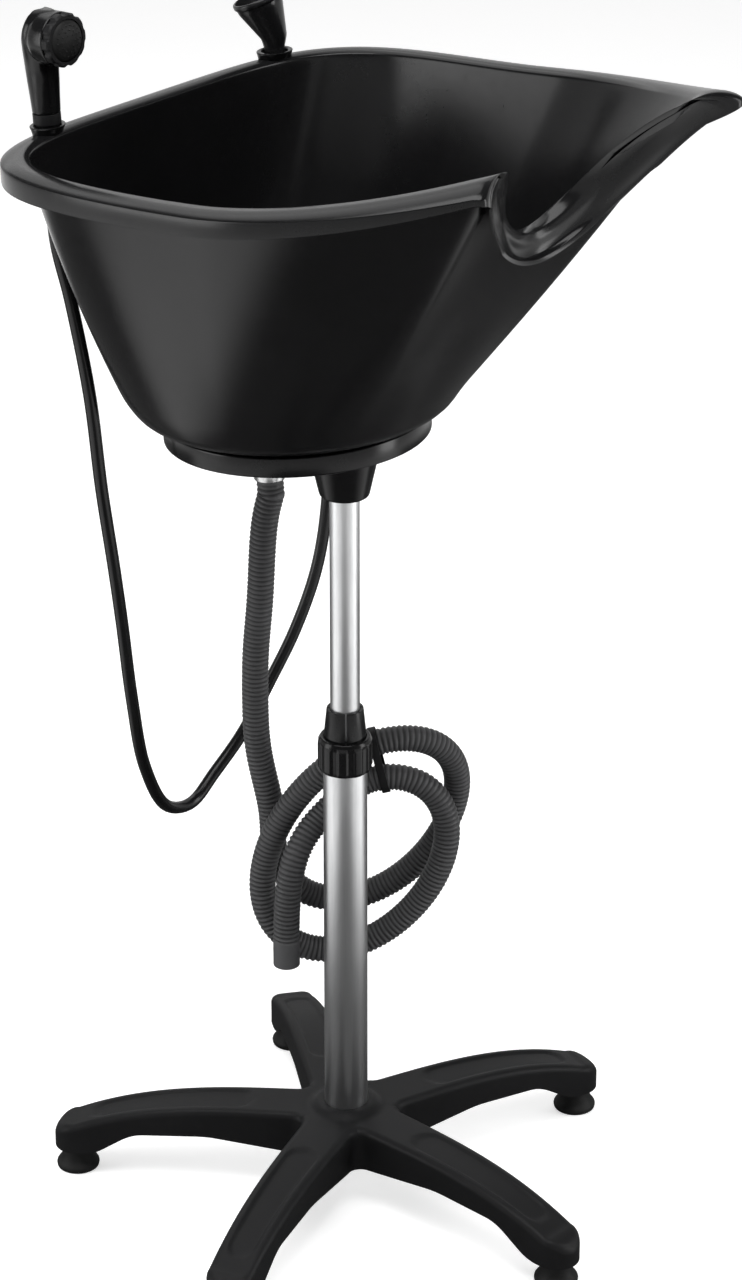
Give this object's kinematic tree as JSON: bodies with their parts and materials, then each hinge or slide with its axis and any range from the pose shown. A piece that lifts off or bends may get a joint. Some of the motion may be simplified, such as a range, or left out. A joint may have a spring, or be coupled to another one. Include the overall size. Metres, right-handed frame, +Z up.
{
  "type": "portable shampoo basin",
  "caption": "Portable shampoo basin: deep bowl with a raised neck rest, clamped telescopic column, flat star base on glides, spray handset, tap connector and ribbed drain hose.",
  "frame": {"origin": "centre of the footprint on the floor, cords left out", "axes": "+Z up along the column, -Y towards the neck rest, +X to the tap connector's side"},
  "size_m": [0.502, 0.517, 1.0695],
  "materials": {
    "bowl_plastic": "semi-gloss black moulding",
    "base_plastic": "satin black moulding",
    "lock_plastic": "semi-gloss black moulding",
    "hose_plastic": "satin dark grey ribbed hose",
    "column_aluminium": "satin anodised tube",
    "rubber": "matt black rubber",
    "steel": "plain bright steel"
  },
  "bodies": {
    "stand": {"star_base": "base_plastic", "glide_1": "rubber", "glide_2": "rubber", "glide_3": "rubber", "glide_4": "rubber", "glide_5": "rubber", "base_bolt": "steel", "tube_plug": "steel", "lower_tube": "column_aluminium", "clamp_collet": "lock_plastic"},
    "lock": {"lock_nut": "lock_plastic"},
    "riser": {"upper_tube": "column_aluminium", "guide_bush": "base_plastic", "column_socket": "lock_plastic", "socket_screw_1": "steel", "socket_screw_2": "steel", "socket_screw_3": "steel", "socket_screw_4": "steel", "bowl_carrier": "lock_plastic", "bowl": "bowl_plastic", "drain_flange": "steel", "drain_gasket": "rubber", "drain_nut": "base_plastic", "drain_tail": "base_plastic", "hose_clip": "steel", "drain_hose": "hose_plastic", "hose_tie": "base_plastic", "handset_holder": "lock_plastic", "connector_holder": "lock_plastic", "tap_connector": "rubber", "shower_hose": "base_plastic"},
    "handset": {"handset_nut": "base_plastic", "handset_body": "lock_plastic", "spray_plate": "rubber"},
    "dial": {"spray_dial": "base_plastic"},
    "strainer": {"drain_strainer": "steel"}
  },
  "joints": [
    {"name": "height_slide", "type": "slide", "parent": "stand", "child": "riser", "axis": [0, 0, 1], "range_m": [-0.11, 0.1]},
    {"name": "lock_twist", "type": "hinge", "parent": "stand", "child": "lock", "pos_m": [0, 0.02618, 0.4295], "axis": [0, 0, 1], "range_deg": [0, 90]},
    {"name": "handset_lift", "type": "slide", "parent": "riser", "child": "handset", "axis": [0, 0.0698, 0.9976], "range_m": [0, 0.08]},
    {"name": "dial_turn", "type": "hinge", "parent": "handset", "child": "dial", "pos_m": [-0.12317, 0.23157, 1.04812], "axis": [0, -0.9976, 0.0698], "range_deg": [0, 90]},
    {"name": "strainer_lift", "type": "slide", "parent": "riser", "child": "strainer", "axis": [0, 0.0698, 0.9976], "range_m": [0, 0.05]}
  ]
}
